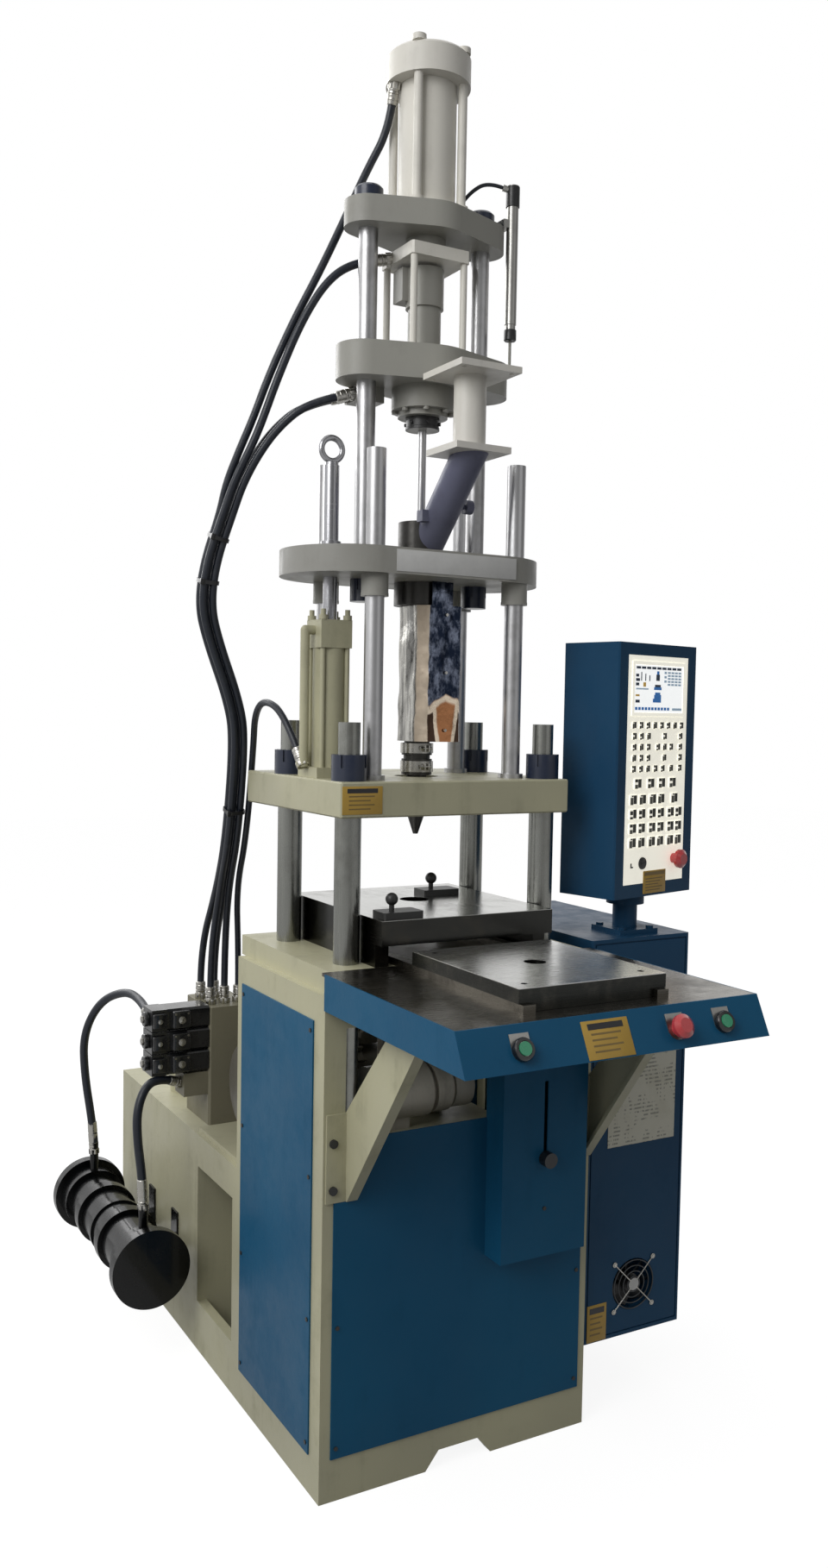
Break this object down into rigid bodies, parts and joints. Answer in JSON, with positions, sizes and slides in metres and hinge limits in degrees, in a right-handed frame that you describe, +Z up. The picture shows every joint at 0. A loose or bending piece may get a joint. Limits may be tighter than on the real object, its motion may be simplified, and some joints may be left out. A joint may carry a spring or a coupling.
{
  "type": "vertical injection moulding machine",
  "caption": "Upright column press with a sliding mould table, platen, barrel with heater guard, injection cylinder, oil tank, cooler, electrical cabinet and swivelling pendant.",
  "frame": {"origin": "middle of the footprint, on the floor", "axes": "+Z up, front with the table towards -Y, electrical cabinet on the +X side"},
  "size_m": [1.1094, 1.7336, 2.76],
  "materials": {
    "beige_paint": "satin, worn",
    "blue_paint": "satin",
    "black_plastic": "matt",
    "black_oxide": "satin",
    "stainless": "brushed",
    "bare_aluminium": "machined",
    "start_green": "gloss",
    "stop_red": "gloss",
    "dark_steel": "oiled",
    "hard_chrome": "polished, light smears",
    "panel_film": "satin film",
    "chute_paint": "satin",
    "hose_rubber": "matt"
  },
  "bodies": {
    "base": {"frame": "beige_paint", "slab": "beige_paint", "side_panels": "blue_paint", "front_panel": "blue_paint", "screws": "black_oxide", "deck": "stainless", "apron": "blue_paint", "brackets": "beige_paint", "button_trims": "bare_aluminium", "die_block": "dark_steel", "mould_clamps": "black_oxide", "clamp_cylinder": "black_oxide", "pump_unit": "dark_steel", "tank": "beige_paint", "drive_motor": "black_oxide", "manifold": "beige_paint", "valve_stack": "black_plastic", "cooler": "black_oxide", "cooler_saddles": "black_oxide", "cabinet": "blue_paint", "fan_guard": "hard_chrome", "pendant_post": "blue_paint", "cooler_hoses": "hose_rubber", "hose_low": "hose_rubber"},
    "cover_knob": {"cover_knob": "black_plastic"},
    "start_left": {"start_left": "start_green"},
    "start_right": {"start_right": "start_green"},
    "table_stop": {"table_stop": "stop_red"},
    "slide_table": {"slide_plate": "dark_steel"},
    "fan": {"fan": "black_plastic"},
    "pendant": {"pendant_case": "blue_paint", "pendant_face": "panel_film"},
    "pendant_stop": {"pendant_stop": "stop_red"},
    "clamp": {"platen": "beige_paint", "tie_columns": "hard_chrome", "tie_nuts": "black_oxide", "crosshead": "dark_steel", "guide_columns": "hard_chrome", "seat_cylinder": "beige_paint", "seat_hose": "hose_rubber", "hose_mid": "hose_rubber"},
    "seat": {"seat_plate": "beige_paint", "seat_rod": "hard_chrome", "eye_bolt": "stainless", "barrel": "dark_steel", "heater_guard": "stainless", "upper_columns": "hard_chrome", "column_nuts": "black_oxide", "top_plate": "beige_paint", "injection_cylinder": "beige_paint", "hopper_mount": "beige_paint", "hopper_chute": "chute_paint", "transducer": "bare_aluminium", "hose_plate": "hose_rubber", "hose_cap": "hose_rubber"},
    "injection": {"mid_plate": "beige_paint", "bearing_housing": "beige_paint", "hydraulic_motor": "beige_paint", "yoke": "beige_paint"},
    "screw": {"screw_shaft": "dark_steel"}
  },
  "joints": [
    {"name": "clamp_close", "type": "slide", "parent": "base", "child": "clamp", "axis": [0, 0, 1], "range_m": [-0.1, 0], "deforming": ["hose_low"]},
    {"name": "unit_lift", "type": "slide", "parent": "clamp", "child": "seat", "axis": [0, 0, 1], "range_m": [0, 0.12], "deforming": ["hose_mid"]},
    {"name": "injection_stroke", "type": "slide", "parent": "seat", "child": "injection", "axis": [0, 0, 1], "range_m": [-0.1, 0], "deforming": ["hose_plate"]},
    {"name": "screw_turn", "type": "hinge", "parent": "injection", "child": "screw", "pos_m": [-0.04672, -0.15617, 1.8], "axis": [0, 0, 1], "continuous": true},
    {"name": "table_slide", "type": "slide", "parent": "base", "child": "slide_table", "axis": [0, 1, 0], "range_m": [0, 0.28]},
    {"name": "cover_setting", "type": "slide", "parent": "base", "child": "cover_knob", "axis": [0, 0, 1], "range_m": [0, 0.145]},
    {"name": "fan_turn", "type": "hinge", "parent": "base", "child": "fan", "pos_m": [0.39528, -0.32817, 0.256], "axis": [0, 1, 0], "continuous": true},
    {"name": "pendant_swing", "type": "hinge", "parent": "base", "child": "pendant", "pos_m": [0.40794, -0.27161, 1.085], "axis": [0, 0, 1], "range_deg": [-60, 60]},
    {"name": "start_left_press", "type": "slide", "parent": "base", "child": "start_left", "axis": [0, 0.8944, -0.4472], "range_m": [0, 0.002], "stiffness_N_per_m": 500, "springref_m": -0.003},
    {"name": "start_right_press", "type": "slide", "parent": "base", "child": "start_right", "axis": [0, 0.8944, -0.4472], "range_m": [0, 0.002], "stiffness_N_per_m": 500, "springref_m": -0.003},
    {"name": "table_stop_press", "type": "slide", "parent": "base", "child": "table_stop", "axis": [0, 0.8944, -0.4472], "range_m": [0, 0.006], "stiffness_N_per_m": 800, "springref_m": -0.003},
    {"name": "pendant_stop_press", "type": "slide", "parent": "pendant", "child": "pendant_stop", "axis": [-0.2402, 0.9707, 0], "range_m": [0, 0.006], "stiffness_N_per_m": 800, "springref_m": -0.003}
  ]
}
